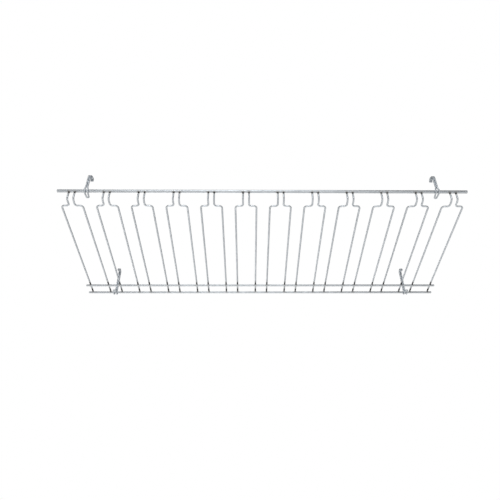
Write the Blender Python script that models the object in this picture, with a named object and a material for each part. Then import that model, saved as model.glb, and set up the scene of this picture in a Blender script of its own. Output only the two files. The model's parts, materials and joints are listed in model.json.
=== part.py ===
"""Hanging wire rack: bent wires in pairs under a raised front rail, on two back rails, with four
open hooks that swing on the rails.

Metres, +Z up. X runs along the rails, +Y from the front rail to the back rails. The origin is the
middle of the four hooks' seats, the inner tops of their upper bends, so the rack hangs below it.
"""
import math

import bmesh
import bpy
from mathutils import Matrix, Vector

# Overall sizes
RACK_LENGTH = 1.200           # length of all three rails
RACK_DEPTH = 0.452            # from the front rail's axis to the end rail's axis
HANG_HEIGHT = 0.0915          # from the wires' axes up to the hooks' seats

# Stock
FRONT_RAIL_DIAMETER = 0.009
BACK_RAIL_DIAMETER = 0.0065
WIRE_DIAMETER = 0.005
HOOK_WIRE_DIAMETER = 0.0045

# Rails
BACK_RAIL_SPACING = 0.041     # between the axes of the inner rail and the end rail
RAIL_OVERHANG = 0.0125        # rail past the axis of the outermost wire
RAIL_CHAMFER = 0.0008
RAIL_SIDES = 24

# Wires
PAIR_COUNT = 12
NECK_HALF = 0.0087            # from a pair's middle to a neck's axis
CHANNEL_HALF = 0.0309         # from a pair's middle to a straight run's axis
FRONT_RISE = 0.0323           # front rail's axis above the wires' axes
SHOULDER_DEPTH = 0.0277       # from the front rail's axis back to the shoulders
NECK_BEND = 0.009             # bend radii, at the wire's axis
INNER_BEND = 0.007
OUTER_BEND = 0.009
WIRE_END_PAST = 0.0022        # wire past the end rail's axis
WIRE_BEND_STEPS = 5
WIRE_BEVEL_STEPS = 2

# Hooks, each one wire doubled back on itself, with its closed end at the foot
HOOK_PAIRS_IN = 1             # the hooks stand between this pair and the next, from each end
FRONT_HOOK_OUT = 0.004        # the front hooks stand this far outwards from there, along the rail
REAR_HOOK_OUT = 0.002         # and the rear hooks this far
FRONT_LEFT_SLIDE = -0.0045    # the front left hook has slid this much more along its rail
SHANK_HALF = 0.0024           # from the hook's middle to each strand's axis, along the shank
EYE_HALF = 0.0046             # the same beside the rail, where the strands spread
FOOT_HALF = 0.0034            # the same at the foot's round end
EYE_HEIGHT = 0.012            # from the rail's axis up to where the strands have come together
FOOT_REACH = 0.0170           # from the rail's axis to the start of the foot's round end
FOOT_LIFT = 0.0008            # the foot's end above its seat under the rail
FOOT_BEND = 0.012             # radius of the foot's upward bend, at the axis
UPPER_BEND = 0.0080           # radius of the upper bend, at the axis
UPPER_SWEEP = math.radians(198)
FRONT_LEAN = math.radians(15) # how far the upper bend leans along the rail
REAR_LEAN = math.radians(3)
HOOK_BEND_STEPS = 8
UPPER_BEND_STEPS = 16
HOOK_BEVEL_STEPS = 2

TOUCH_GAP = 0.0003            # between pieces that touch or are welded

# Worked out from the sizes above
FRONT_Y = -RACK_DEPTH / 2
END_Y = RACK_DEPTH / 2
INNER_Y = END_Y - BACK_RAIL_SPACING
WIRE_Z = -HANG_HEIGHT
FRONT_Z = WIRE_Z + FRONT_RISE
BACK_Z = WIRE_Z - (WIRE_DIAMETER + BACK_RAIL_DIAMETER) / 2 - TOUCH_GAP
PAIR_PITCH = (RACK_LENGTH - 2 * (RAIL_OVERHANG + CHANNEL_HALF)) / (PAIR_COUNT - 1)
HOOK_X = ((PAIR_COUNT - 1) / 2 - HOOK_PAIRS_IN + 0.5) * PAIR_PITCH
UPPER_BEND_Z = HOOK_WIRE_DIAMETER / 2 - UPPER_BEND


def material(name, colour, roughness):
    """A plated steel finish."""
    finish = bpy.data.materials.new(name)
    finish.use_nodes = True
    shader = finish.node_tree.nodes["Principled BSDF"]
    shader.inputs["Base Color"].default_value = (*colour, 1.0)
    shader.inputs["Metallic"].default_value = 1.0
    shader.inputs["Roughness"].default_value = roughness
    return finish


def add_object(name, data, location, finish, parent):
    """Link one piece at its place, under the rack's empty."""
    piece = bpy.data.objects.new(name, data)
    piece.location = location
    piece.parent = parent
    data.materials.clear()
    data.materials.append(finish)
    bpy.context.scene.collection.objects.link(piece)
    return piece


def rounded_path(corners, radii, steps):
    """Points of a bent wire: straight runs between corners, each corner an arc of its own radius."""
    points = [corners[0]]
    for before, corner, after, radius in zip(corners, corners[1:], corners[2:], radii):
        back = (before - corner).normalized()
        ahead = (after - corner).normalized()
        half_angle = back.angle(ahead) / 2
        centre = corner + (back + ahead).normalized() * radius / math.sin(half_angle)
        start = corner + back * radius / math.tan(half_angle) - centre
        end = corner + ahead * radius / math.tan(half_angle) - centre
        sweep = start.angle(end)
        for step in range(steps + 1):
            share = step / steps
            weights = (math.sin((1 - share) * sweep), math.sin(share * sweep))
            points.append(centre + (start * weights[0] + end * weights[1]) / math.sin(sweep))
    points.append(corners[-1])
    return points


def round_bar(name, points, diameter, bevel_steps):
    """A round bar bent along the points, with flat ends."""
    curve = bpy.data.curves.new(name, "CURVE")
    curve.dimensions = "3D"
    curve.resolution_u = 1
    curve.render_resolution_u = 0
    curve.bevel_depth = diameter / 2
    curve.bevel_resolution = bevel_steps
    curve.use_fill_caps = True
    spline = curve.splines.new("POLY")
    spline.points.add(len(points) - 1)
    for spline_point, point in zip(spline.points, points):
        spline_point.co = (*point, 1.0)
    return curve


def rail_mesh(name, diameter):
    """A straight round rail along X, centred, with a small chamfer round each flat end."""
    mesh = bpy.data.meshes.new(name)
    bar = bmesh.new()
    bmesh.ops.create_cone(bar, cap_ends=True, segments=RAIL_SIDES, radius1=diameter / 2,
                          radius2=diameter / 2, depth=RACK_LENGTH,
                          matrix=Matrix.Rotation(math.pi / 2, 4, "Y"))
    ends = [face for face in bar.faces if len(face.verts) == RAIL_SIDES]
    rims = [edge for face in ends for edge in face.edges]
    bmesh.ops.bevel(bar, geom=rims, offset=RAIL_CHAMFER, segments=1, affect="EDGES")
    bar.to_mesh(mesh)
    bar.free()
    mesh.shade_smooth()
    mesh.set_sharp_from_angle(angle=math.radians(30))
    return mesh


def wire_curve(name, side):
    """One wire of a pair, from its weld under the front rail to its end past the end rail.

    Its own origin is the pair's middle, under the front rail's axis. Side is -1 left, +1 right.
    """
    weld_height = FRONT_RISE - FRONT_RAIL_DIAMETER / 2 - TOUCH_GAP
    corners = [Vector((side * NECK_HALF, 0, weld_height)),
               Vector((side * NECK_HALF, 0, 0)),
               Vector((side * NECK_HALF, SHOULDER_DEPTH, 0)),
               Vector((side * CHANNEL_HALF, SHOULDER_DEPTH, 0)),
               Vector((side * CHANNEL_HALF, RACK_DEPTH + WIRE_END_PAST, 0))]
    points = rounded_path(corners, (NECK_BEND, INNER_BEND, OUTER_BEND), WIRE_BEND_STEPS)
    return round_bar(name, points, WIRE_DIAMETER, WIRE_BEVEL_STEPS)


def ease(share):
    """A smooth step from 0 to 1."""
    share = min(max(share, 0.0), 1.0)
    return share * share * (3 - 2 * share)


def strand_half(reach, height):
    """Half the distance between a hook's strands, at a place measured from the rail's axis."""
    if height > 0:
        return EYE_HALF + (SHANK_HALF - EYE_HALF) * ease(height / EYE_HEIGHT)
    return EYE_HALF + (FOOT_HALF - EYE_HALF) * ease(reach / FOOT_REACH)


def hook_curve(name, rail_diameter, rail_z, facing, lean):
    """One hook, its own origin on its rail's axis.

    Both strands rise on one side of the rail from a foot that runs under it and lifts a little on the
    far side. They bend over at the top towards the foot's side. Facing is +1 where the hook opens
    towards +Y, else -1. Lean is the sideways slope of the upper bend.
    """
    wrap = (rail_diameter + HOOK_WIRE_DIAMETER) / 2 + TOUCH_GAP
    bend_height = UPPER_BEND_Z - rail_z
    corners = [Vector((0, FOOT_REACH, FOOT_LIFT - wrap)),
               Vector((0, wrap, -wrap)),
               Vector((0, -wrap, -wrap)),
               Vector((0, -wrap, 0))]
    middle = rounded_path(corners, (FOOT_BEND, wrap * 0.999), HOOK_BEND_STEPS)
    for step in range(1, HOOK_BEND_STEPS + 1):
        middle.append(Vector((0, -wrap, EYE_HEIGHT * step / HOOK_BEND_STEPS)))
    for step in range(UPPER_BEND_STEPS + 1):
        angle = UPPER_SWEEP * step / UPPER_BEND_STEPS
        reach = UPPER_BEND * (1 - math.cos(angle))
        rise = UPPER_BEND * math.sin(angle)
        middle.append(Vector((lean * reach, reach - wrap, bend_height + rise)))
    strands = {side: [Vector((point.x + side * strand_half(point.y, point.z), facing * point.y,
                              point.z)) for point in middle] for side in (-1, 1)}
    foot_end = []
    for step in range(1, HOOK_BEND_STEPS):
        angle = math.pi * step / HOOK_BEND_STEPS
        end = Vector((math.cos(angle) * FOOT_HALF, math.sin(angle) * FOOT_HALF, 0))
        foot_end.append(Vector((end.x, facing * (FOOT_REACH + end.y), FOOT_LIFT - wrap)))
    points = strands[1][::-1] + foot_end + strands[-1]
    return round_bar(name, points, HOOK_WIRE_DIAMETER, HOOK_BEVEL_STEPS)


def build_rails(parent):
    """The raised front rail and the two rails that carry the wires at the back."""
    plate = material("rail_plate", (0.60, 0.62, 0.65), 0.30)
    front = rail_mesh("front_rail", FRONT_RAIL_DIAMETER)
    back = rail_mesh("back_rail", BACK_RAIL_DIAMETER)
    add_object("front_rail", front, (0, FRONT_Y, FRONT_Z), plate, parent)
    add_object("inner_rail", back, (0, INNER_Y, BACK_Z), plate, parent)
    add_object("end_rail", back, (0, END_Y, BACK_Z), plate, parent)


def build_wires(parent):
    """The mirrored pairs of bent wires."""
    plate = material("wire_plate", (0.64, 0.66, 0.69), 0.28)
    curves = {"left": wire_curve("left_wire", -1), "right": wire_curve("right_wire", 1)}
    for pair in range(PAIR_COUNT):
        x = (pair - (PAIR_COUNT - 1) / 2) * PAIR_PITCH
        for side, curve in curves.items():
            add_object(f"wire_{pair + 1:02d}_{side}", curve, (x, FRONT_Y, WIRE_Z), plate, parent)


def build_hooks(parent):
    """Two hooks on the front rail that open to the back, two on the end rail that open forward.

    The front hooks lean towards the middle of the rack, the rear ones away from it.
    """
    plate = material("hook_plate", (0.58, 0.60, 0.63), 0.32)
    slides = {"front_hook_left": FRONT_LEFT_SLIDE}
    rows = (("front", FRONT_Y, FRONT_Z, FRONT_RAIL_DIAMETER, 1, FRONT_HOOK_OUT, FRONT_LEAN),
            ("rear", END_Y, BACK_Z, BACK_RAIL_DIAMETER, -1, REAR_HOOK_OUT, REAR_LEAN))
    for row, y, z, diameter, facing, out, lean in rows:
        for side, hand in (("left", -1), ("right", 1)):
            name = f"{row}_hook_{side}"
            curve = hook_curve(name, diameter, z, facing, -hand * facing * math.tan(lean))
            x = hand * (HOOK_X + out) + slides.get(name, 0)
            add_object(name, curve, (x, y, z), plate, parent)


def main():
    for old in list(bpy.data.objects):
        bpy.data.objects.remove(old, do_unlink=True)
    rack = bpy.data.objects.new("rack", None)
    bpy.context.scene.collection.objects.link(rack)
    build_rails(rack)
    build_wires(rack)
    build_hooks(rack)


main()
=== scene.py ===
import json
import math
import random

import bmesh
import bpy
from bpy.props import FloatProperty, FloatVectorProperty, IntProperty, PointerProperty
from mathutils import Matrix, Vector


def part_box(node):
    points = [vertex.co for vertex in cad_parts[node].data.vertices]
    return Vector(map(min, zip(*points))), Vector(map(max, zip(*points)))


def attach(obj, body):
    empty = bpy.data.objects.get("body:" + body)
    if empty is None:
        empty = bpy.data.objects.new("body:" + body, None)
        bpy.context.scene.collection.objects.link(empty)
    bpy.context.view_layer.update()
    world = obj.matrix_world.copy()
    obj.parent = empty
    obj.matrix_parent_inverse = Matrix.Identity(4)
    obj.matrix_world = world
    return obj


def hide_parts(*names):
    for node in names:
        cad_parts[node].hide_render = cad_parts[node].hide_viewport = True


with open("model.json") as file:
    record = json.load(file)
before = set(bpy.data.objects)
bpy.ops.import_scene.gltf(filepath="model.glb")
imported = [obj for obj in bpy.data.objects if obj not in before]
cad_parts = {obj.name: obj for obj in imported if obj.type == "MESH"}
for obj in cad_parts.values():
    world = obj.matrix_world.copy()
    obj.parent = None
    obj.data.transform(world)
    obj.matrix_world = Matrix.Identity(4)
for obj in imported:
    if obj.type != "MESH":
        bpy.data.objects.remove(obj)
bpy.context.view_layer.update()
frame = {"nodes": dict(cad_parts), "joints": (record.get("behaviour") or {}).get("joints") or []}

bl_info = {
    "name": "Hanging wire rack",
    "version": (1, 0, 0),
    "blender": (4, 5, 0),
    "location": "3D View > Sidebar > Wire Rack",
    "description": "Smooth bent wires, rails, welds and hooks in plated steel round a fixed frame",
    "category": "Add Mesh",
}

MM = 0.001

# Places that the fixed frame gives
FRONT_LOW, FRONT_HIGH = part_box("front_rail")
INNER_LOW, INNER_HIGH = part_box("inner_rail")
END_LOW, END_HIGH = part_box("end_rail")
FRONT_AXIS = (FRONT_LOW + FRONT_HIGH) / 2
INNER_AXIS = (INNER_LOW + INNER_HIGH) / 2
END_AXIS = (END_LOW + END_HIGH) / 2
RAIL_LENGTH = FRONT_HIGH.x - FRONT_LOW.x
FRONT_DIAMETER = FRONT_HIGH.z - FRONT_LOW.z
BACK_DIAMETER = END_HIGH.z - END_LOW.z
PAIR_COUNT = sum(name.startswith("wire_") for name in frame["nodes"]) // 2
FIRST_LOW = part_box("wire_01_left")[0].x
LAST_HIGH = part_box(f"wire_{PAIR_COUNT:02d}_right")[1].x

# Bends of the wires, at the wire's axis
NECK_HALF = 8.7 * MM          # from a pair's middle to a neck
CHANNEL_HALF = 30.9 * MM      # from a pair's middle to a straight run
FRONT_RISE = 32.3 * MM        # front rail's axis above the wires
SHOULDER_DEPTH = 27.7 * MM    # from the front rail's axis back to the shoulders
WIRE_PAST = 2.2 * MM          # wire past the end rail's axis
WELD_SINK = 0.5 * MM          # how far a neck's top is sunk into its weld
RAIL_GAP = 0.3 * MM           # between a wire's straight run and the rails under it
WIRE_SIDES = 20
WIRE_BEND_STEPS = 12
WIRE_LINES = 6.0              # how closely the draw marks lie round the wire
WIRE_DRESSING = 0.45 * MM     # how far in from its face a wire's cut end is rounded
WIRE_FINISHES = 4             # how many slightly different finishes the wires share

# Rails, with sides, draw marks and dressing as on the wires
RAIL_SIDES = {"front": 40, "inner": 32, "end": 32}
RAIL_LINES = {"front": 9.0, "inner": 8.0, "end": 8.0}
RAIL_DRESSING = 0.8 * MM

# Bends of the hooks, at the wire's axis
SHANK_HALF = 2.4 * MM         # half the distance between the two strands, in the shank
EYE_HALF = 4.6 * MM           # the same at the rail
FOOT_HALF = 3.4 * MM          # the same in the foot
EYE_HEIGHT = 12.0 * MM        # where the strands have closed up, above the rail's axis
FOOT_REACH = 17.0 * MM        # from the rail's axis to where the foot's round end starts
FOOT_LIFT = 0.8 * MM
FOOT_BEND = 12.0 * MM
HEEL_SHARE = 0.999            # heel's bend as a share of its distance from the rail's axis
UPPER_BEND = 8.0 * MM
UPPER_SWEEP = math.radians(198)
FRONT_LEAN = math.radians(15)
REAR_LEAN = math.radians(3)
HOOK_PLAY = 0.3 * MM
HOOK_STEPS = 20
HOOK_SIDES = 24
HOOK_LINES = 7.0
HOOK_DRESSING = 0.5 * MM
DRESSING_STEPS = 4            # steps in the rounding of a cut end, on hooks, wires and rails

# Dark patches, each as half spacing, distance in front of the rail, drop, core and reach
# The three on the wires are weld burn widened into painted shade, set in front of the back rails
# and below the front rail
NECK_BURN_AND_SHADE = (NECK_HALF, 0.0, 3.2 * MM, 2.7 * MM, 4.8 * MM)
INNER_BURN_AND_SHADE = (CHANNEL_HALF, 7.0 * MM, 0.0, 3.2 * MM, 8.0 * MM)
END_BURN_AND_SHADE = (CHANNEL_HALF, 10.0 * MM, 0.0, 4.0 * MM, 10.0 * MM)
# The two on the rails are weld burn round the welds
FRONT_RAIL_BURN = (NECK_HALF, 0.0, 0.0, 1.2 * MM, 3.6 * MM)
BACK_RAIL_BURN = (CHANNEL_HALF, 0.0, 0.0, 2.0 * MM, 4.5 * MM)

# Weld beads: size as shares of the set size, and how bright a coat of plate they took
BEAD_SHARES = {"front": (1.0, 1.0, 0.75), "inner": (0.88, 0.80, 0.42), "end": (0.88, 0.80, 0.42)}
BEAD_COATS = {"front": 0.42, "inner": 0.75, "end": 0.75}
BEAD_DROP = 0.6 * MM          # how far a bead's middle lies below the front rail
BEAD_TURNS = ((-0.12, -0.12, -0.5), (0.12, 0.12, 0.5))    # least and most turn, in radians
BEAD_SPREAD = ((0.88, 0.88, 0.85), (1.10, 1.12, 1.15))    # least and most share of its size
LUMP_HEIGHT = 0.35 * MM
LUMP_SPACING = 2.2 * MM

# Colours that no setting changes
HEAT_TINT = (0.40, 0.37, 0.33)
CUT_STEEL = (0.30, 0.31, 0.33)
WELD_RUST = (0.16, 0.125, 0.085)

# Floor, and each light's name, place, target, width and share of the key light's power
FLOOR_RADIUS = 18.0
FLOOR_SIDES = 96
LIGHTS = (("key_light", (-0.35, -2.3, 1.2), (0.0, 0.0, -0.1), 2.0, 1.0),
          ("side_light", (-3.0, 0.4, 0.9), (0.0, 0.0, -0.1), 1.8, 0.25),
          ("rear_floor_light", (-0.9, 2.4, 0.2), (-0.9, 2.4, -1.9), 2.2, 1.8),
          ("front_floor_light", (-0.2, -2.3, 0.2), (-0.2, -2.3, -1.9), 2.2, 1.5))

# Room as the metal mirrors it
RIGHT_SHARE = 1.7             # how much sooner the room darkens to the right than to the left
SIDE_SPAN = (0.05, 0.42)      # sideways slope of a direction where it darkens
RISE_SPAN = (0.60, 0.95)      # upward slope of a direction where the upper light takes over
ROOM_TINT = (0.92, 0.96, 1.0, 1.0)

# Camera
CAMERA_PLACE = Vector((-0.0409, -1.3607, -1.2351))
CAMERA_TILT = math.radians(39.48)
CAMERA_TURN = math.radians(1.10)
CAMERA_ROLL = math.radians(-0.65)
CAMERA_LENS = 39.96
CAMERA_SENSOR = 36.0
CAMERA_NEAR = 0.01
CAMERA_SHIFT = (-0.015, 0.010)


class RackSizes(bpy.types.PropertyGroup):
    """Sizes of the drawn wire and bar that the visible pieces are bent from."""

    wire_diameter: FloatProperty(
        name="Wire", description="Diameter of the bent wires",
        default=5.0 * MM, min=1.0 * MM, max=8.0 * MM, subtype="DISTANCE", unit="LENGTH")
    hook_diameter: FloatProperty(
        name="Hook wire", description="Diameter of the wire that each hook is doubled from",
        default=4.5 * MM, min=1.0 * MM, max=8.0 * MM, subtype="DISTANCE", unit="LENGTH")
    neck_bend: FloatProperty(
        name="Neck bend", description="Radius of the bend from a neck's rise to its run",
        default=9.0 * MM, min=1.0 * MM, max=15.0 * MM, subtype="DISTANCE", unit="LENGTH")
    inner_bend: FloatProperty(
        name="Inner bend", description="Radius of the bend from a neck to its shoulder",
        default=7.0 * MM, min=1.0 * MM, max=12.0 * MM, subtype="DISTANCE", unit="LENGTH")
    outer_bend: FloatProperty(
        name="Outer bend", description="Radius of the bend from a shoulder to the straight run",
        default=9.0 * MM, min=1.0 * MM, max=12.0 * MM, subtype="DISTANCE", unit="LENGTH")
    weld_size: FloatProperty(
        name="Weld", description="Half width of the bead round a neck's top",
        default=3.1 * MM, min=1.0 * MM, max=6.0 * MM, subtype="DISTANCE", unit="LENGTH")
    hand_error: FloatProperty(
        name="Hand error", description="How far a bent corner may lie from its true place",
        default=0.25 * MM, min=0.0, max=1.0 * MM, subtype="DISTANCE", unit="LENGTH")
    seed: IntProperty(
        name="Seed", description="Which set of small irregularities the wires and welds have",
        default=7, min=0)


class RackFinish(bpy.types.PropertyGroup):
    """Colours and gloss of the plated steel."""

    plate: FloatVectorProperty(
        name="Plate", description="Colour of the bright plate",
        default=(0.755, 0.79, 0.825), size=3, min=0.0, max=1.0, subtype="COLOR")
    bloom: FloatVectorProperty(
        name="Bloom", description="Colour of the plate where it has clouded",
        default=(0.65, 0.685, 0.72), size=3, min=0.0, max=1.0, subtype="COLOR")
    # Also the colour of the painted shade on the wires in front of and below the rails
    scorch_and_shade: FloatVectorProperty(
        name="Scorch", description="Colour of the metal that a weld has burnt",
        default=(0.060, 0.056, 0.048), size=3, min=0.0, max=1.0, subtype="COLOR")
    roughness: FloatProperty(
        name="Roughness", description="Roughness of the clean plate",
        default=0.33, min=0.0, max=1.0, subtype="FACTOR")
    draw_depth: FloatProperty(
        name="Draw marks", description="Height of the lines that the drawing die leaves",
        default=0.010 * MM, min=0.0, max=0.2 * MM, subtype="DISTANCE", unit="LENGTH")


class StageSettings(bpy.types.PropertyGroup):
    """The room round the rack."""

    floor_drop: FloatProperty(
        name="Floor drop", description="How far the floor lies below what the rack hangs on",
        default=1.9, min=1.4, max=4.0, subtype="DISTANCE", unit="LENGTH")
    floor_colour: FloatVectorProperty(
        name="Floor", description="Colour of the floor",
        default=(0.58, 0.58, 0.575), size=3, min=0.0, max=1.0, subtype="COLOR")
    upper_light: FloatProperty(
        name="Upper light", description="Brightness of the room straight above the rack",
        default=0.20, min=0.0, max=2.0)
    level_light: FloatProperty(
        name="Level light", description="Brightness of the room in front of and behind the rack",
        default=1.05, min=0.0, max=2.0)
    side_light: FloatProperty(
        name="Side light", description="Brightness of the room beyond the rack's two ends",
        default=0.08, min=0.0, max=2.0)
    key_power: FloatProperty(
        name="Key light", description="Power of the large soft light in front of the rack",
        default=16.0, min=0.0, max=1000.0, subtype="POWER", unit="POWER")


# ---------------------------------------------------------------- node helpers


def fill(tree, node, inputs):
    """Link each input that is given a socket, and set the others to their values."""
    for key, value in inputs.items():
        if isinstance(value, bpy.types.NodeSocket):
            tree.links.new(value, node.inputs[key])
        else:
            node.inputs[key].default_value = value


def add_node(tree, kind, inputs=None, **settings):
    """Add a node, set its own settings, then its inputs by name or number."""
    node = tree.nodes.new(kind)
    for key, value in settings.items():
        setattr(node, key, value)
    fill(tree, node, inputs or {})
    return node


def new_tree(name, kind, inputs, outputs):
    """A node group with named sockets, each given as (name, type, default or None)."""
    tree = bpy.data.node_groups.new(name, kind)
    for in_out, sockets in (("INPUT", inputs), ("OUTPUT", outputs)):
        for label, socket_type, default in sockets:
            socket = tree.interface.new_socket(label, in_out=in_out, socket_type=socket_type)
            if default is not None:
                socket.default_value = default
    entry = tree.nodes.new("NodeGroupInput")
    leave = tree.nodes.new("NodeGroupOutput")
    return tree, entry.outputs, leave.inputs


def group_node(tree, group, inputs):
    """Place a shader group in a material, with its own values."""
    return add_node(tree, "ShaderNodeGroup", inputs, node_tree=group).outputs


def maths(tree, operation, first, second=None, third=None):
    """The result of one sum on values or sockets."""
    inputs = {0: first}
    if second is not None:
        inputs[1] = second
    if third is not None:
        inputs[2] = third
    return add_node(tree, "ShaderNodeMath", inputs, operation=operation).outputs[0]


def remap(tree, value, low, high, to_low, to_high, smooth=False):
    """Value carried from one span to another, and held at the ends."""
    style = "SMOOTHSTEP" if smooth else "LINEAR"
    inputs = {0: value, 1: low, 2: high, 3: to_low, 4: to_high}
    return add_node(tree, "ShaderNodeMapRange", inputs, interpolation_type=style).outputs[0]


def blend_colour(tree, share, first, second):
    """A mix of two colours."""
    inputs = {0: share}
    for index, colour in ((6, first), (7, second)):
        is_socket = isinstance(colour, bpy.types.NodeSocket)
        inputs[index] = colour if is_socket else (*colour[:3], 1.0)
    return add_node(tree, "ShaderNodeMix", inputs, data_type="RGBA").outputs[2]


def new_finish(name):
    """A new material, its node tree and its shader."""
    finish = bpy.data.materials.new(name)
    finish.use_nodes = True
    return finish, finish.node_tree, finish.node_tree.nodes["Principled BSDF"]


# ---------------------------------------------------------------- geometry trees


def keep_on_points(tree, geometry, name, value, data_type="FLOAT"):
    """Keep a value on a geometry's points under a name."""
    node = add_node(tree, "GeometryNodeStoreNamedAttribute", data_type=data_type, domain="POINT")
    fill(tree, node, {"Geometry": geometry, "Name": name, "Value": value})
    return node.outputs["Geometry"]


def kept(tree, name):
    """A value that was kept on the points under a name."""
    node = add_node(tree, "GeometryNodeInputNamedAttribute", {"Name": name}, data_type="FLOAT")
    return node.outputs["Attribute"]


def random_vector(tree, seed, low, high):
    """A vector for each point, between two limits."""
    node = add_node(tree, "FunctionNodeRandomValue", data_type="FLOAT_VECTOR")
    fill(tree, node, {0: low, 1: high, "Seed": seed})
    return node.outputs["Value"]


def close_tree(tree, geometry, finish, result):
    """End a tree: smooth shading, real meshes and the finish."""
    smooth = add_node(tree, "GeometryNodeSetShadeSmooth", {"Geometry": geometry})
    real = add_node(tree, "GeometryNodeRealizeInstances", {"Geometry": smooth.outputs[0]})
    finished = add_node(tree, "GeometryNodeSetMaterial",
                        {"Geometry": real.outputs[0], "Material": finish})
    tree.links.new(finished.outputs[0], result)


def bent_bar_tree():
    """Round bar along a bent line, with rounded corners, that keeps its places along and round."""
    name = "bent_bar"
    if name in bpy.data.node_groups:
        return bpy.data.node_groups[name]
    tree, given, made = new_tree(
        name, "GeometryNodeTree",
        [("Centre Line", "NodeSocketGeometry", None),
         ("Diameter", "NodeSocketFloat", 4.0 * MM),
         ("Sides", "NodeSocketInt", 16),
         ("Bend Steps", "NodeSocketInt", 10),
         ("Finish", "NodeSocketMaterial", None)],
        [("Bar", "NodeSocketGeometry", None)])
    line = add_node(tree, "GeometryNodeMeshToCurve", {"Mesh": given["Centre Line"]})
    rounded = add_node(tree, "GeometryNodeFilletCurve",
                       {"Curve": line.outputs[0], "Count": given["Bend Steps"],
                        "Radius": kept(tree, "bend"), "Limit Radius": True}, mode="POLY")
    run = add_node(tree, "GeometryNodeSplineParameter").outputs["Length"]
    whole = add_node(tree, "GeometryNodeSplineLength").outputs["Length"]
    path = keep_on_points(tree, rounded.outputs[0], "run", run)
    path = keep_on_points(tree, path, "run_left", maths(tree, "SUBTRACT", whole, run))
    ring = add_node(tree, "GeometryNodeCurvePrimitiveCircle",
                    {"Resolution": given["Sides"],
                     "Radius": maths(tree, "MULTIPLY", given["Diameter"], 0.5)}, mode="RADIUS")
    place = add_node(tree, "GeometryNodeInputPosition").outputs[0]
    unit = add_node(tree, "ShaderNodeVectorMath", {0: place}, operation="NORMALIZE")
    ring = keep_on_points(tree, ring.outputs[0], "around", unit.outputs[0], "FLOAT_VECTOR")
    swept = add_node(tree, "GeometryNodeCurveToMesh",
                     {"Curve": path, "Profile Curve": ring, "Scale": kept(tree, "taper"),
                      "Fill Caps": True})
    close_tree(tree, swept.outputs[0], given["Finish"], made["Bar"])
    return tree


def weld_bead_tree():
    """A lumpy bead of weld metal at each point, turned and sized at random from a fixed seed."""
    name = "weld_beads"
    if name in bpy.data.node_groups:
        return bpy.data.node_groups[name]
    tree, given, made = new_tree(
        name, "GeometryNodeTree",
        [("Joints", "NodeSocketGeometry", None),
         ("Bead Size", "NodeSocketVector", None),
         ("Lump Height", "NodeSocketFloat", LUMP_HEIGHT),
         ("Lump Spacing", "NodeSocketFloat", LUMP_SPACING),
         ("Seed", "NodeSocketInt", 1),
         ("Finish", "NodeSocketMaterial", None)],
        [("Beads", "NodeSocketGeometry", None)])
    drop = add_node(tree, "GeometryNodeMeshIcoSphere", {"Radius": 1.0, "Subdivisions": 4})
    turn = add_node(tree, "FunctionNodeEulerToRotation",
                    {0: random_vector(tree, given["Seed"], *BEAD_TURNS)})
    next_seed = maths(tree, "ADD", given["Seed"], 11.0)
    size = add_node(tree, "ShaderNodeVectorMath",
                    {0: given["Bead Size"], 1: random_vector(tree, next_seed, *BEAD_SPREAD)},
                    operation="MULTIPLY")
    placed = add_node(tree, "GeometryNodeInstanceOnPoints",
                      {"Points": given["Joints"], "Instance": drop.outputs["Mesh"],
                       "Rotation": turn.outputs[0], "Scale": size.outputs[0]})
    real = add_node(tree, "GeometryNodeRealizeInstances", {"Geometry": placed.outputs[0]})
    place = add_node(tree, "GeometryNodeInputPosition").outputs[0]
    lumps = add_node(tree, "ShaderNodeTexNoise",
                     {"Vector": place, "Scale": maths(tree, "DIVIDE", 1.0, given["Lump Spacing"]),
                      "Detail": 2.0})
    height = maths(tree, "SUBTRACT", lumps.outputs["Fac"], 0.5)
    height = maths(tree, "MULTIPLY", height, given["Lump Height"])
    normal = add_node(tree, "GeometryNodeInputNormal").outputs[0]
    push = add_node(tree, "ShaderNodeVectorMath",
                    {0: normal, "Scale": maths(tree, "MULTIPLY", height, 2.0)}, operation="SCALE")
    lumpy = add_node(tree, "GeometryNodeSetPosition",
                     {"Geometry": real.outputs[0], "Offset": push.outputs[0]})
    close_tree(tree, lumpy.outputs[0], given["Finish"], made["Beads"])
    return tree


def grow(name, base, tree, values):
    """Run a geometry tree on a base mesh, and keep its result as a plain mesh."""
    piece = bpy.data.objects.new(name, base)
    bpy.context.scene.collection.objects.link(piece)
    modifier = piece.modifiers.new("grow", "NODES")
    modifier.node_group = tree
    sockets = {item.name: item.identifier for item in tree.interface.items_tree
               if item.item_type == "SOCKET" and item.in_out == "INPUT"}
    for label, value in values.items():
        modifier[sockets[label]] = value
    depsgraph = bpy.context.evaluated_depsgraph_get()
    mesh = bpy.data.meshes.new_from_object(piece.evaluated_get(depsgraph),
                                           preserve_all_data_layers=True, depsgraph=depsgraph)
    piece.modifiers.remove(modifier)
    piece.data = mesh
    mesh.name = name
    bpy.data.meshes.remove(base)
    if not mesh.polygons:
        raise RuntimeError(f"{name} came out empty")
    return piece


def line_mesh(name, stations):
    """A chain of points, each given as (place, bend radius, share of the full diameter)."""
    mesh = bpy.data.meshes.new(name)
    places = [tuple(place) for place, bend, taper in stations]
    links = [(index, index + 1) for index in range(len(places) - 1)]
    mesh.from_pydata(places, links, [])
    bends = mesh.attributes.new("bend", "FLOAT", "POINT")
    tapers = mesh.attributes.new("taper", "FLOAT", "POINT")
    bends.data.foreach_set("value", [bend for place, bend, taper in stations])
    tapers.data.foreach_set("value", [taper for place, bend, taper in stations])
    return mesh


def dressed_end(end, inward, diameter, dressing):
    """Stations that round off a bar's end: from the flat face in to the full diameter."""
    stations = []
    for step in range(DRESSING_STEPS + 1):
        angle = math.pi / 2 * step / DRESSING_STEPS
        depth = dressing * (1 - math.cos(angle))
        inset = dressing * (1 - math.sin(angle))
        stations.append((end + inward * depth, 0.0, 1 - 2 * inset / diameter))
    return stations


# ---------------------------------------------------------------- shader groups


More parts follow.
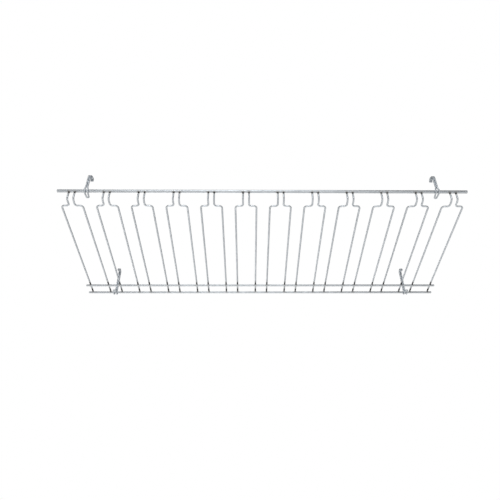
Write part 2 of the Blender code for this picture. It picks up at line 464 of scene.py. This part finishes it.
def draw_marks_group():
    """Lines that run along drawn wire, from its own places along and round it."""
    name = "draw_marks"
    if name in bpy.data.node_groups:
        return bpy.data.node_groups[name]
    tree, given, made = new_tree(
        name, "ShaderNodeTree",
        [("Around", "NodeSocketVector", None),
         ("Run", "NodeSocketFloat", 0.0),
         ("Line Count", "NodeSocketFloat", 7.0),
         ("Line Length", "NodeSocketFloat", 60.0 * MM),
         ("Shift", "NodeSocketFloat", 0.0)],
        [("Lines", "NodeSocketFloat", None), ("Scuffs", "NodeSocketFloat", None)])
    ring = add_node(tree, "ShaderNodeVectorMath",
                    {0: given["Around"], "Scale": given["Line Count"]}, operation="SCALE")
    parts = add_node(tree, "ShaderNodeSeparateXYZ", {0: ring.outputs[0]})
    travel = maths(tree, "DIVIDE", given["Run"], given["Line Length"])
    travel = maths(tree, "ADD", travel, given["Shift"])
    place = add_node(tree, "ShaderNodeCombineXYZ",
                     {0: parts.outputs[0], 1: parts.outputs[1], 2: travel})
    lines = add_node(tree, "ShaderNodeTexNoise",
                     {"Vector": place.outputs[0], "Scale": 1.0, "Detail": 4.0, "Roughness": 0.6})
    tree.links.new(lines.outputs["Fac"], made["Lines"])
    quick_travel = maths(tree, "MULTIPLY", travel, 9.0)
    scuff_place = add_node(tree, "ShaderNodeCombineXYZ",
                           {0: parts.outputs[0], 1: parts.outputs[1], 2: quick_travel})
    scuffs = add_node(tree, "ShaderNodeTexNoise",
                      {"Vector": scuff_place.outputs[0], "Scale": 0.35, "Detail": 3.0})
    tree.links.new(remap(tree, scuffs.outputs["Fac"], 0.56, 0.72, 0.0, 1.0, True), made["Scuffs"])
    return tree


def plate_bloom_group():
    """Soft clouds and fine grain of an electroplated coat."""
    name = "plate_bloom"
    if name in bpy.data.node_groups:
        return bpy.data.node_groups[name]
    tree, given, made = new_tree(
        name, "ShaderNodeTree",
        [("Place", "NodeSocketVector", None),
         ("Cloud Size", "NodeSocketFloat", 14.0 * MM),
         ("Grain Size", "NodeSocketFloat", 0.5 * MM)],
        [("Clouds", "NodeSocketFloat", None), ("Grain", "NodeSocketFloat", None)])
    cloud_scale = maths(tree, "DIVIDE", 1.0, given["Cloud Size"])
    clouds = add_node(tree, "ShaderNodeTexNoise",
                      {"Vector": given["Place"], "Scale": cloud_scale, "Detail": 5.0,
                       "Roughness": 0.55})
    tree.links.new(remap(tree, clouds.outputs["Fac"], 0.35, 0.68, 0.0, 1.0, True), made["Clouds"])
    grain_scale = maths(tree, "DIVIDE", 1.0, given["Grain Size"])
    grain = add_node(tree, "ShaderNodeTexNoise",
                     {"Vector": given["Place"], "Scale": grain_scale, "Detail": 2.0})
    tree.links.new(grain.outputs["Fac"], made["Grain"])
    return tree


def burn_and_shade_group():
    """How dark a place is made by the nearest of a row of patches under one rail: weld burn, and
    painted shade where the row is set off its welds.
    """
    name = "weld_heat"
    if name in bpy.data.node_groups:
        return bpy.data.node_groups[name]
    tree, given, made = new_tree(
        name, "ShaderNodeTree",
        [("Place", "NodeSocketVector", None),
         ("Pair Pitch", "NodeSocketFloat", 0.1),
         ("Weld Half", "NodeSocketFloat", NECK_HALF),
         ("Weld Y", "NodeSocketFloat", 0.0),
         ("Weld Z", "NodeSocketFloat", 0.0),
         ("Core", "NodeSocketFloat", 3.0 * MM),
         ("Reach", "NodeSocketFloat", 9.0 * MM)],
        [("Burn And Shade", "NodeSocketFloat", None), ("Tint", "NodeSocketFloat", None)])
    parts = add_node(tree, "ShaderNodeSeparateXYZ", {0: given["Place"]})
    half_pitch = maths(tree, "MULTIPLY", given["Pair Pitch"], 0.5)
    moved = maths(tree, "ADD", parts.outputs[0], half_pitch)
    minus = maths(tree, "MULTIPLY", half_pitch, -1.0)
    wrapped = maths(tree, "WRAP", moved, half_pitch, minus)
    sideways = maths(tree, "SUBTRACT", maths(tree, "ABSOLUTE", wrapped), given["Weld Half"])
    back = maths(tree, "SUBTRACT", parts.outputs[1], given["Weld Y"])
    down = maths(tree, "SUBTRACT", parts.outputs[2], given["Weld Z"])
    offset = add_node(tree, "ShaderNodeCombineXYZ", {0: sideways, 1: back, 2: down})
    away = add_node(tree, "ShaderNodeVectorMath", {0: offset.outputs[0]}, operation="LENGTH")
    ragged = add_node(tree, "ShaderNodeTexNoise",
                      {"Vector": given["Place"], "Scale": 420.0, "Detail": 3.0})
    fray = maths(tree, "MULTIPLY_ADD", ragged.outputs["Fac"], 0.7, 0.65)
    distance = maths(tree, "MULTIPLY", away.outputs["Value"], fray)
    # Darkening from weld burn, and painted shade where the row is set off its welds
    burn_and_shade = remap(tree, distance, given["Core"], given["Reach"], 1.0, 0.0, True)
    tree.links.new(burn_and_shade, made["Burn And Shade"])
    far = maths(tree, "MULTIPLY", given["Reach"], 2.2)
    tree.links.new(remap(tree, distance, given["Reach"], far, 1.0, 0.0, True), made["Tint"])
    return tree


# ---------------------------------------------------------------- finishes


def pair_pitch():
    """Distance between the middles of neighbouring pairs."""
    first_middle = FIRST_LOW + CHANNEL_HALF + wire_radius()
    last_middle = LAST_HIGH - CHANNEL_HALF - wire_radius()
    return (last_middle - first_middle) / (PAIR_COUNT - 1)


def wire_radius():
    return bpy.context.scene.rack_sizes.wire_diameter / 2


def plated_steel(name, shade, wear, shift, weld_rows, line_count):
    """Bright plated drawn steel, darkened by rows of patches round the welds: weld burn, and on the
    wires painted shade. Wear multiplies its roughness.
    """
    if name in bpy.data.materials:
        return bpy.data.materials[name]
    look = bpy.context.scene.rack_finish
    finish, tree, shader = new_finish(name)
    place = add_node(tree, "ShaderNodeTexCoord").outputs["Object"]
    run = add_node(tree, "ShaderNodeAttribute", attribute_name="run").outputs["Fac"]
    left = add_node(tree, "ShaderNodeAttribute", attribute_name="run_left").outputs["Fac"]
    around = add_node(tree, "ShaderNodeAttribute", attribute_name="around").outputs["Vector"]
    marks = group_node(tree, draw_marks_group(),
                       {"Around": around, "Run": run, "Line Count": line_count, "Shift": shift})
    bloom = group_node(tree, plate_bloom_group(), {"Place": place})
    plate = [channel * shade for channel in look.plate]
    cloudy = [channel * shade for channel in look.bloom]
    colour = blend_colour(tree, bloom["Clouds"], plate, cloudy)
    streak = remap(tree, marks["Lines"], 0.35, 0.65, 0.0, 0.30)
    colour = blend_colour(tree, streak, colour, cloudy)
    colour = blend_colour(tree, maths(tree, "MULTIPLY", marks["Scuffs"], 0.35), colour,
                          [channel * 1.12 for channel in plate])
    clean = look.roughness * wear
    rough = remap(tree, bloom["Clouds"], 0.0, 1.0, clean, clean + 0.10)
    rough = maths(tree, "MULTIPLY_ADD", marks["Scuffs"], 0.08, rough)
    burn_and_shade = 0.0
    # Each row darkens the colour: weld burn, and on the wires painted shade in front of and below
    # the rails
    for half, y, z, core, reach in weld_rows:
        row_burn_and_shade = group_node(tree, burn_and_shade_group(),
                          {"Place": place, "Pair Pitch": pair_pitch(), "Weld Half": half,
                           "Weld Y": y, "Weld Z": z, "Core": core, "Reach": reach})
        tint = maths(tree, "MULTIPLY", row_burn_and_shade["Tint"], 0.35)
        colour = blend_colour(tree, tint, colour, HEAT_TINT)
        colour = blend_colour(tree, row_burn_and_shade["Burn And Shade"], colour, look.scorch_and_shade)
        burn_and_shade = maths(tree, "MAXIMUM", row_burn_and_shade["Burn And Shade"], burn_and_shade)
    if weld_rows:
        rough = maths(tree, "MULTIPLY_ADD", burn_and_shade, 0.30, rough)
    cut = maths(tree, "MINIMUM", run, left)
    cut = remap(tree, cut, 0.05 * MM, 0.55 * MM, 1.0, 0.0, True)
    colour = blend_colour(tree, maths(tree, "MULTIPLY", cut, 0.55), colour, CUT_STEEL)
    rough = maths(tree, "MULTIPLY_ADD", cut, 0.18, rough)
    tree.links.new(colour, shader.inputs["Base Color"])
    tree.links.new(rough, shader.inputs["Roughness"])
    shader.inputs["Metallic"].default_value = 1.0
    height = maths(tree, "MULTIPLY_ADD", bloom["Grain"], 0.30, marks["Lines"])
    bump = add_node(tree, "ShaderNodeBump",
                    {"Strength": 0.5, "Distance": look.draw_depth, "Height": height})
    tree.links.new(bump.outputs["Normal"], shader.inputs["Normal"])
    return finish


def weld_metal(name, coat):
    """Rough dark weld metal under a coat of plate, which hides it where the coat is near 1."""
    if name in bpy.data.materials:
        return bpy.data.materials[name]
    look = bpy.context.scene.rack_finish
    finish, tree, shader = new_finish(name)
    place = add_node(tree, "ShaderNodeTexCoord").outputs["Object"]
    bloom = group_node(tree, plate_bloom_group(),
                       {"Place": place, "Cloud Size": 2.4 * MM, "Grain Size": 0.35 * MM})
    plate = [channel * coat for channel in look.bloom]
    dark = [mark + (channel - mark) * coat * coat for mark, channel in zip(look.scorch_and_shade, plate)]
    colour = blend_colour(tree, bloom["Clouds"], dark, plate)
    colour = blend_colour(tree, remap(tree, bloom["Grain"], 0.5, 0.7, 0.0, 0.5), colour,
                          WELD_RUST)
    rough = remap(tree, bloom["Clouds"], 0.0, 1.0, 0.62, 0.40)
    tree.links.new(colour, shader.inputs["Base Color"])
    tree.links.new(rough, shader.inputs["Roughness"])
    shader.inputs["Metallic"].default_value = 0.9
    bump = add_node(tree, "ShaderNodeBump",
                    {"Strength": 0.6, "Distance": 0.12 * MM, "Height": bloom["Grain"]})
    tree.links.new(bump.outputs["Normal"], shader.inputs["Normal"])
    return finish


def floor_paint():
    """Matte pale floor with the faintest mottle."""
    name = "floor_paint"
    if name in bpy.data.materials:
        return bpy.data.materials[name]
    stage = bpy.context.scene.rack_stage
    finish, tree, shader = new_finish(name)
    place = add_node(tree, "ShaderNodeTexCoord").outputs["Object"]
    mottle = add_node(tree, "ShaderNodeTexNoise", {"Vector": place, "Scale": 3.0, "Detail": 3.0})
    pale = list(stage.floor_colour)
    colour = blend_colour(tree, remap(tree, mottle.outputs["Fac"], 0.4, 0.6, 0.0, 0.3), pale,
                          [channel * 0.96 for channel in pale])
    tree.links.new(colour, shader.inputs["Base Color"])
    shader.inputs["Roughness"].default_value = 0.75
    return finish


# ---------------------------------------------------------------- shapes of the pieces


def weld_rows_for(rail, on_wire=False):
    """The rows of dark patches at one rail, as (half spacing, y, z, core, reach): weld burn on the
    rail, and weld burn with painted shade on the wires at it.
    """
    under_front = FRONT_AXIS.z - FRONT_DIAMETER / 2
    crossing = (INNER_HIGH.z + END_HIGH.z) / 2
    rows = {"front": (FRONT_AXIS.y, under_front, NECK_BURN_AND_SHADE, FRONT_RAIL_BURN),
            "inner": (INNER_AXIS.y, crossing, INNER_BURN_AND_SHADE, BACK_RAIL_BURN),
            "end": (END_AXIS.y, crossing, END_BURN_AND_SHADE, BACK_RAIL_BURN)}
    y, z, wire_burn_and_shade, rail_burn = rows[rail]
    half, before, drop, core, reach = wire_burn_and_shade if on_wire else rail_burn
    return half, y - before, z - drop, core, reach


def wire_plan():
    """Each wire's name, side and corners, with the small errors of hand bending."""
    sizes = bpy.context.scene.rack_sizes
    dice = random.Random(sizes.seed)
    first_middle = FIRST_LOW + CHANNEL_HALF + wire_radius()
    plan = []
    for pair in range(PAIR_COUNT):
        middle = first_middle + pair * pair_pitch()
        for side, hand in (("left", -1), ("right", 1)):
            error = [dice.uniform(-1, 1) * sizes.hand_error for _ in range(6)]
            neck = middle + hand * NECK_HALF
            channel = middle + hand * CHANNEL_HALF
            wire_z = FRONT_AXIS.z - FRONT_RISE
            shoulder = FRONT_AXIS.y + SHOULDER_DEPTH
            top = FRONT_AXIS.z - FRONT_DIAMETER / 2 + WELD_SINK
            corners = [Vector((neck + error[0], FRONT_AXIS.y, top)),
                       Vector((neck + error[1], FRONT_AXIS.y, wire_z)),
                       Vector((neck + error[2], shoulder + error[3], wire_z)),
                       Vector((channel + error[4], shoulder + error[3], wire_z)),
                       Vector((channel + error[5], END_AXIS.y + WIRE_PAST, wire_z))]
            plan.append((f"wire_{pair + 1:02d}_{side}", corners))
    return plan


def point_at(start, end, y):
    """The place on a straight run at a given Y."""
    share = (y - start.y) / (end.y - start.y)
    return start + (end - start) * share


def ease(share):
    """A smooth step from 0 to 1."""
    share = min(max(share, 0.0), 1.0)
    return share * share * (3 - 2 * share)


def bend_arc(before, corner, after, radius, steps):
    """Points of a rounded corner."""
    back = (before - corner).normalized()
    ahead = (after - corner).normalized()
    half_angle = back.angle(ahead) / 2
    centre = corner + (back + ahead).normalized() * radius / math.sin(half_angle)
    start = corner + back * radius / math.tan(half_angle) - centre
    end = corner + ahead * radius / math.tan(half_angle) - centre
    sweep = start.angle(end)
    points = []
    for step in range(steps + 1):
        share = step / steps
        weights = (math.sin((1 - share) * sweep), math.sin(share * sweep))
        points.append(centre + (start * weights[0] + end * weights[1]) / math.sin(sweep))
    return points


def strand_half(reach, height):
    """Half the distance between a hook's strands, at a place measured from the rail's axis."""
    if height > 0:
        return EYE_HALF + (SHANK_HALF - EYE_HALF) * ease(height / EYE_HEIGHT)
    return EYE_HALF + (FOOT_HALF - EYE_HALF) * ease(reach / FOOT_REACH)


def hook_line(rail_diameter, rail_z, facing, lean):
    """Centre line of a hook, measured from its rail's axis: one wire doubled back at the foot."""
    hook_diameter = bpy.context.scene.rack_sizes.hook_diameter
    wrap = (rail_diameter + hook_diameter) / 2 + HOOK_PLAY
    rise_to_bend = hook_diameter / 2 - UPPER_BEND - rail_z
    toe = Vector((0, FOOT_REACH, FOOT_LIFT - wrap))
    under = Vector((0, wrap, -wrap))
    heel = Vector((0, -wrap, -wrap))
    side = Vector((0, -wrap, 0))
    middle = [toe]
    middle += bend_arc(toe, under, heel, FOOT_BEND, HOOK_STEPS)
    middle += bend_arc(under, heel, side, wrap * HEEL_SHARE, HOOK_STEPS)
    for step in range(1, HOOK_STEPS + 1):
        middle.append(Vector((0, -wrap, EYE_HEIGHT * step / HOOK_STEPS)))
    for step in range(2 * HOOK_STEPS + 1):
        angle = UPPER_SWEEP * step / (2 * HOOK_STEPS)
        reach = UPPER_BEND * (1 - math.cos(angle))
        rise = UPPER_BEND * math.sin(angle)
        middle.append(Vector((lean * reach, reach - wrap, rise_to_bend + rise)))
    strands = {}
    for hand in (-1, 1):
        strands[hand] = [Vector((point.x + hand * strand_half(point.y, point.z),
                                 facing * point.y, point.z)) for point in middle]
    foot = []
    for step in range(1, HOOK_STEPS):
        angle = math.pi * step / HOOK_STEPS
        foot.append(Vector((math.cos(angle) * FOOT_HALF,
                            facing * (FOOT_REACH + math.sin(angle) * FOOT_HALF),
                            FOOT_LIFT - wrap)))
    return strands[1][::-1] + foot + strands[-1]


def finish_piece(piece, body, slot, *nodes):
    """Let a piece ride on its body, and stand for its solid."""
    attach(piece, body)
    if nodes:
        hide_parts(*nodes)


# ---------------------------------------------------------------- operators


class RACK_OT_rails(bpy.types.Operator):
    """Build the raised front rail and the two rails under the wires at the back"""

    bl_idname = "rack.rails"
    bl_label = "Build the rails"

    def execute(self, context):
        plans = (("front", FRONT_AXIS, FRONT_DIAMETER), ("inner", INNER_AXIS, BACK_DIAMETER),
                 ("end", END_AXIS, BACK_DIAMETER))
        for number, (rail, axis, diameter) in enumerate(plans):
            left = Vector((axis.x - RAIL_LENGTH / 2, axis.y, axis.z))
            right = Vector((axis.x + RAIL_LENGTH / 2, axis.y, axis.z))
            along = Vector((1, 0, 0))
            stations = dressed_end(left, along, diameter, RAIL_DRESSING)
            stations += dressed_end(right, -along, diameter, RAIL_DRESSING)[::-1]
            finish = plated_steel(f"plated_{rail}_rail", shade=0.92, wear=1.0,
                                  shift=3.7 * number, weld_rows=[weld_rows_for(rail)],
                                  line_count=RAIL_LINES[rail])
            piece = grow(f"{rail}_rail_bar", line_mesh("line", stations), bent_bar_tree(),
                         {"Diameter": diameter, "Sides": RAIL_SIDES[rail], "Bend Steps": 1,
                          "Finish": finish})
            finish_piece(piece, "rack", "rails", f"{rail}_rail")
        return {"FINISHED"}


class RACK_OT_wires(bpy.types.Operator):
    """Bend the mirrored pairs of wires"""

    bl_idname = "rack.wires"
    bl_label = "Bend the wires"

    def execute(self, context):
        sizes = context.scene.rack_sizes
        # Weld burn and painted shade in front of and below the rails, on every wire
        rows = [weld_rows_for(rail, on_wire=True) for rail in ("front", "inner", "end")]
        for number, (name, corners) in enumerate(wire_plan()):
            kind = number % WIRE_FINISHES
            finish = plated_steel(f"plated_wire_{kind + 1}", shade=1.0 + 0.02 * kind, wear=1.0,
                                  shift=5.3 * kind, weld_rows=rows, line_count=WIRE_LINES)
            top, knee, neck, shoulder, tail = corners
            run = (tail - shoulder).normalized()
            stations = [(top, 0.0, 1.0), (knee, sizes.neck_bend, 1.0),
                        (neck, sizes.inner_bend, 1.0), (shoulder, sizes.outer_bend, 1.0)]
            stations += dressed_end(tail, -run, sizes.wire_diameter, WIRE_DRESSING)[::-1]
            piece = grow(f"{name}_bent", line_mesh("line", stations), bent_bar_tree(),
                         {"Diameter": sizes.wire_diameter, "Sides": WIRE_SIDES,
                          "Bend Steps": WIRE_BEND_STEPS, "Finish": finish})
            finish_piece(piece, "rack", "wires", name)
        return {"FINISHED"}


class RACK_OT_welds(bpy.types.Operator):
    """Set a weld bead wherever a wire meets a rail"""

    bl_idname = "rack.welds"
    bl_label = "Set the welds"

    def execute(self, context):
        sizes = context.scene.rack_sizes
        joints = {"front": [], "inner": [], "end": []}
        for name, (top, knee, neck, shoulder, tail) in wire_plan():
            joints["front"].append(Vector((top.x, top.y, top.z - WELD_SINK - BEAD_DROP)))
            for rail, axis, high in (("inner", INNER_AXIS, INNER_HIGH),
                                     ("end", END_AXIS, END_HIGH)):
                crossing = point_at(shoulder, tail, axis.y)
                joints[rail].append(Vector((crossing.x, crossing.y, high.z + RAIL_GAP / 2)))
        for number, (rail, places) in enumerate(joints.items()):
            base = bpy.data.meshes.new("joints")
            base.from_pydata([tuple(place) for place in places], [], [])
            piece = grow(f"{rail}_rail_welds", base, weld_bead_tree(),
                         {"Bead Size": Vector(BEAD_SHARES[rail]) * sizes.weld_size,
                          "Lump Height": LUMP_HEIGHT, "Lump Spacing": LUMP_SPACING,
                          "Seed": sizes.seed + number,
                          "Finish": weld_metal(f"{rail}_weld_metal", BEAD_COATS[rail])})
            finish_piece(piece, "rack", "wires")
        return {"FINISHED"}


class RACK_OT_hooks(bpy.types.Operator):
    """Bend the four doubled-wire hooks that swing on the front and end rails"""

    bl_idname = "rack.hooks"
    bl_label = "Bend the hooks"

    def execute(self, context):
        sizes = context.scene.rack_sizes
        places = {joint["child"]: Vector(joint["pos_m"]) for joint in frame["joints"]}
        rows = (("front", FRONT_DIAMETER, 1, math.tan(FRONT_LEAN)),
                ("rear", BACK_DIAMETER, -1, math.tan(REAR_LEAN)))
        for row, rail_diameter, facing, lean in rows:
            for side, hand in (("left", -1), ("right", 1)):
                name = f"{row}_hook_{side}"
                place = places[name]
                line = hook_line(rail_diameter, place.z, facing, -hand * facing * lean)
                points = [place + point for point in line]
                first = (points[1] - points[0]).normalized()
                last = (points[-2] - points[-1]).normalized()
                stations = dressed_end(points[0], first, sizes.hook_diameter, HOOK_DRESSING)
                stations += [(point, 0.0, 1.0) for point in points[1:-1]]
                stations += dressed_end(points[-1], last, sizes.hook_diameter,
                                        HOOK_DRESSING)[::-1]
                finish = plated_steel("plated_hook", shade=0.97, wear=1.15, shift=2.1,
                                      weld_rows=[], line_count=HOOK_LINES)
                piece = grow(f"{name}_bent", line_mesh("line", stations), bent_bar_tree(),
                             {"Diameter": sizes.hook_diameter, "Sides": HOOK_SIDES, "Bend Steps": 1,
                              "Finish": finish})
                finish_piece(piece, name, "hooks", name)
        return {"FINISHED"}


class RACK_OT_stage(bpy.types.Operator):
    """Set the floor, the room's light, the soft lights and the camera"""

    bl_idname = "rack.stage"
    bl_label = "Set the stage"

    def execute(self, context):
        self.add_floor(context)
        self.light_room(context)
        self.add_lights(context)
        self.add_camera(context)
        return {"FINISHED"}

    def add_floor(self, context):
        """A wide pale disc far below the rack."""
        mesh = bpy.data.meshes.new("floor")
        disc = bmesh.new()
        level = Matrix.Translation((0, 0, -context.scene.rack_stage.floor_drop))
        bmesh.ops.create_circle(disc, cap_ends=True, segments=FLOOR_SIDES, radius=FLOOR_RADIUS,
                                matrix=level)
        disc.to_mesh(mesh)
        disc.free()
        mesh.materials.append(floor_paint())
        floor = bpy.data.objects.new("floor", mesh)
        context.scene.collection.objects.link(floor)

    def light_room(self, context):
        """White, but dimmer to the sides and the top where the metal mirrors it."""
        stage = context.scene.rack_stage
        world = bpy.data.worlds.new("room")
        context.scene.world = world
        world.use_nodes = True
        tree = world.node_tree
        tree.nodes.clear()
        direction = add_node(tree, "ShaderNodeTexCoord").outputs["Generated"]
        parts = add_node(tree, "ShaderNodeSeparateXYZ", {0: direction})
        rightward = maths(tree, "MULTIPLY", parts.outputs[0], RIGHT_SHARE)
        leftward = maths(tree, "MULTIPLY", parts.outputs[0], -1.0)
        sideways = maths(tree, "MAXIMUM", rightward, leftward)
        level = remap(tree, sideways, *SIDE_SPAN, stage.level_light, stage.side_light, True)
        rise = remap(tree, parts.outputs[2], *RISE_SPAN, 0.0, 1.0, True)
        strength = add_node(tree, "ShaderNodeMix", {0: rise, 2: level, 3: stage.upper_light},
                            data_type="FLOAT").outputs[0]
        mirrored = add_node(tree, "ShaderNodeBackground",
                            {"Color": ROOM_TINT, "Strength": strength})
        seen = add_node(tree, "ShaderNodeBackground",
                        {"Color": (1.0, 1.0, 1.0, 1.0), "Strength": 1.0})
        path = add_node(tree, "ShaderNodeLightPath")
        both = add_node(tree, "ShaderNodeMixShader",
                        {0: path.outputs["Is Glossy Ray"], 1: seen.outputs[0],
                         2: mirrored.outputs[0]})
        add_node(tree, "ShaderNodeOutputWorld", {0: both.outputs[0]})
        context.scene.view_settings.view_transform = "Standard"

    def add_lights(self, context):
        """Large soft lights, aimed at the rack or at the floor, and never in sight."""
        power = context.scene.rack_stage.key_power
        for name, place, target, width, share in LIGHTS:
            lamp = bpy.data.lights.new(name, "AREA")
            lamp.shape = "SQUARE"
            lamp.size = width
            lamp.energy = power * share
            light = bpy.data.objects.new(name, lamp)
            aim = Vector(target) - Vector(place)
            light.matrix_world = (Matrix.Translation(place)
                                  @ aim.to_track_quat("-Z", "Y").to_matrix().to_4x4())
            light.visible_camera = False
            context.scene.collection.objects.link(light)

    def add_camera(self, context):
        """Below the front rail, looking up under the rack."""
        lens = bpy.data.cameras.new("camera")
        lens.lens = CAMERA_LENS
        lens.sensor_width = CAMERA_SENSOR
        lens.shift_x, lens.shift_y = CAMERA_SHIFT
        lens.clip_start = CAMERA_NEAR
        camera = bpy.data.objects.new("camera", lens)
        camera.matrix_world = (Matrix.Translation(CAMERA_PLACE)
                               @ Matrix.Rotation(-CAMERA_TURN, 4, "Z")
                               @ Matrix.Rotation(math.pi / 2 + CAMERA_TILT, 4, "X")
                               @ Matrix.Rotation(CAMERA_ROLL, 4, "Z"))
        context.scene.collection.objects.link(camera)
        context.scene.camera = camera


class RACK_PT_panel(bpy.types.Panel):
    """The rack's sizes, finish and build steps"""

    bl_idname = "RACK_PT_panel"
    bl_label = "Hanging wire rack"
    bl_space_type = "VIEW_3D"
    bl_region_type = "UI"
    bl_category = "Wire Rack"

    def draw(self, context):
        scene = context.scene
        for settings in (scene.rack_sizes, scene.rack_finish, scene.rack_stage):
            box = self.layout.box()
            for key in settings.__annotations__:
                box.prop(settings, key)
        column = self.layout.column(align=True)
        for step in BUILD_STEPS:
            column.operator(step.bl_idname)


BUILD_STEPS = (RACK_OT_rails, RACK_OT_wires, RACK_OT_welds, RACK_OT_hooks, RACK_OT_stage)
CLASSES = (RackSizes, RackFinish, StageSettings, *BUILD_STEPS, RACK_PT_panel)


def register():
    for item in CLASSES:
        bpy.utils.register_class(item)
    bpy.types.Scene.rack_sizes = PointerProperty(type=RackSizes)
    bpy.types.Scene.rack_finish = PointerProperty(type=RackFinish)
    bpy.types.Scene.rack_stage = PointerProperty(type=StageSettings)


def unregister():
    del bpy.types.Scene.rack_stage
    del bpy.types.Scene.rack_finish
    del bpy.types.Scene.rack_sizes
    for item in reversed(CLASSES):
        bpy.utils.unregister_class(item)


def main():
    register()
    bpy.ops.rack.rails()
    bpy.ops.rack.wires()
    bpy.ops.rack.welds()
    bpy.ops.rack.hooks()
    bpy.ops.rack.stage()


if __name__ == "__main__":
    main()
